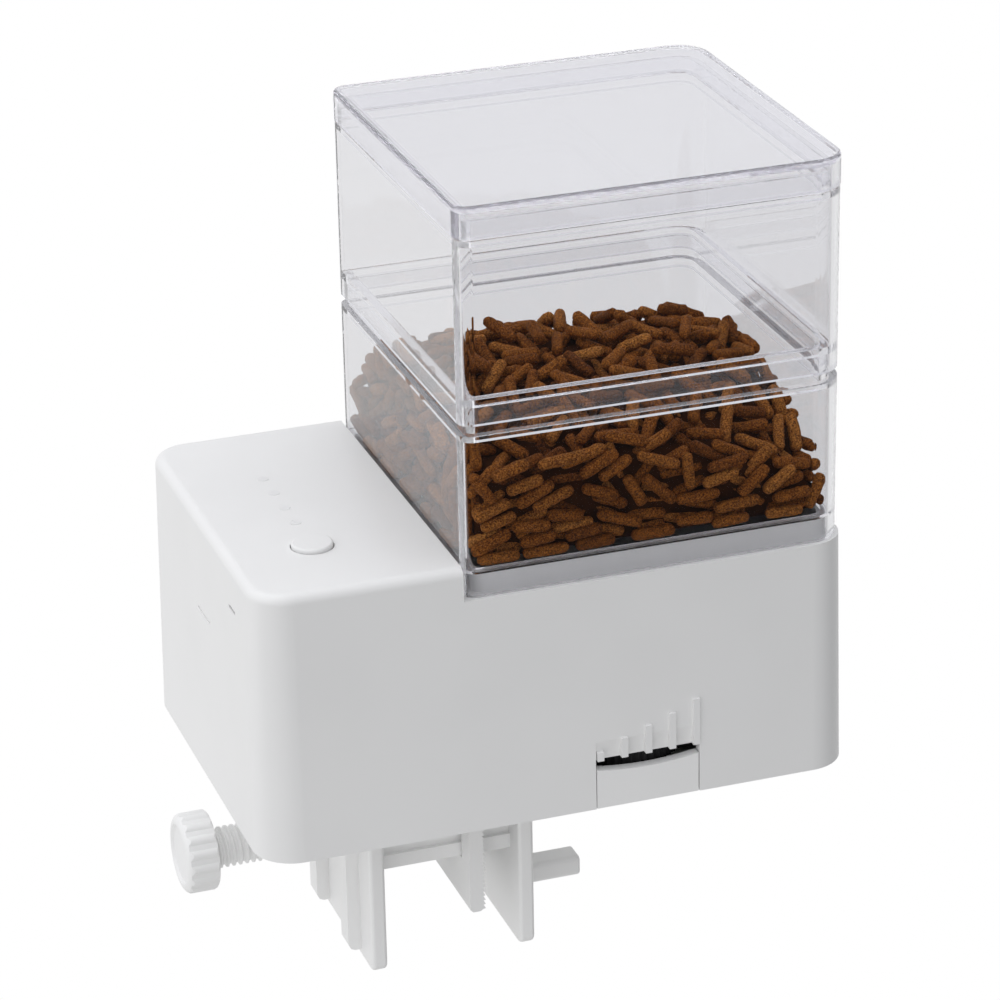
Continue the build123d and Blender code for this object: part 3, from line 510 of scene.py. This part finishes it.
m.link(m.ramp(axes.outputs["X"], FLOOR_LEFT, FLOOR_RIGHT, 0.03, 0.20), by_ray.inputs["B"])
m.link(m.larger(by_ray.outputs["Result"], path.outputs["Is Camera Ray"]), glow.inputs["Strength"])
from_below = m.tree.nodes.new("ShaderNodeMixShader")
m.link(m.tree.nodes.new("ShaderNodeNewGeometry").outputs["Backfacing"], from_below.inputs["Fac"])
m.link(glow.outputs["Emission"], from_below.inputs[1])
m.link(m.tree.nodes.new("ShaderNodeBsdfTransparent").outputs["BSDF"], from_below.inputs[2])
m.link(from_below.outputs["Shader"], m.out.inputs["Surface"])
corners = ((-1, -1), (1, -1), (1, 1), (-1, 1))
floor = new_object("studio_floor",
                   [(x * FLOOR_HALF, y * FLOOR_HALF, low.z - FLOOR_GAP) for x, y in corners],
                   [(0, 1, 2, 3)], m.material, smooth=False)

soft_light("top", middle + Vector((-0.25, 0.15, 0.9)), middle, 0.7, 0.7, 0.75)

# The studio around the object: brightest above on the left, dimmest below on the right. Glossy
# and clear surfaces see at least ROOM_LEAST of it.
LIGHT_FROM = (-0.24, 0.0, 0.60)
STUDIO_DIM, STUDIO_BRIGHT = 0.05, 1.25
ROOM_LEAST = 0.72
world = bpy.data.worlds.new("studio")
world.use_nodes = True
tree = world.node_tree
background = tree.nodes["Background"]
background.inputs["Color"].default_value = (0.97, 0.975, 1.0, 1.0)
direction = tree.nodes.new("ShaderNodeTexCoord").outputs["Generated"]
tilt = tree.nodes.new("ShaderNodeVectorMath")
tilt.operation = "DOT_PRODUCT"
tilt.inputs[1].default_value = LIGHT_FROM
tree.links.new(direction, tilt.inputs[0])
shade = tree.nodes.new("ShaderNodeMapRange")
shade.inputs["From Min"].default_value = -0.40
shade.inputs["From Max"].default_value = 0.55
shade.inputs["To Min"].default_value = STUDIO_DIM
shade.inputs["To Max"].default_value = STUDIO_BRIGHT
tree.links.new(tilt.outputs["Value"], shade.inputs["Value"])
room = tree.nodes.new("ShaderNodeMapRange")
room.inputs["To Min"].default_value = ROOM_LEAST
room.inputs["To Max"].default_value = 0.0
diffuse_depth = tree.nodes.new("ShaderNodeLightPath").outputs["Diffuse Depth"]
tree.links.new(diffuse_depth, room.inputs["Value"])
lightest = tree.nodes.new("ShaderNodeMath")
lightest.operation = "MAXIMUM"
tree.links.new(shade.outputs["Result"], lightest.inputs[0])
tree.links.new(room.outputs["Result"], lightest.inputs[1])
tree.links.new(lightest.outputs["Value"], background.inputs["Strength"])
bpy.context.scene.world = world

# Camera: 18.7 degrees to the left of the front and 23.7 degrees above, with a long lens.
EYE = (-0.232465, -0.702583, 0.394189)
RIGHT = Vector((0.944575, -0.327786, -0.018288))
UPWARD = Vector((0.147779, 0.374788, 0.915257))
BACKWARD = RIGHT.cross(UPWARD)
camera_data = bpy.data.cameras.new("camera")
camera_data.sensor_width = 36.0
camera_data.lens = 142.96
camera_data.clip_start = 0.01
camera = bpy.data.objects.new("camera", camera_data)
rows = list(zip(RIGHT, UPWARD, BACKWARD, EYE))
camera.matrix_world = Matrix(rows + [(0.0, 0.0, 0.0, 1.0)])
bpy.context.scene.collection.objects.link(camera)
bpy.context.scene.camera = camera

scene = bpy.context.scene
scene.view_settings.view_transform = "Standard"
scene.view_settings.look = "None"
CLEAR_BOUNCES = 64  # enough for light to leave the stacked clear walls
scene.cycles.max_bounces = CLEAR_BOUNCES
scene.cycles.transmission_bounces = CLEAR_BOUNCES
scene.cycles.glossy_bounces = CLEAR_BOUNCES
scene.cycles.transparent_max_bounces = 32
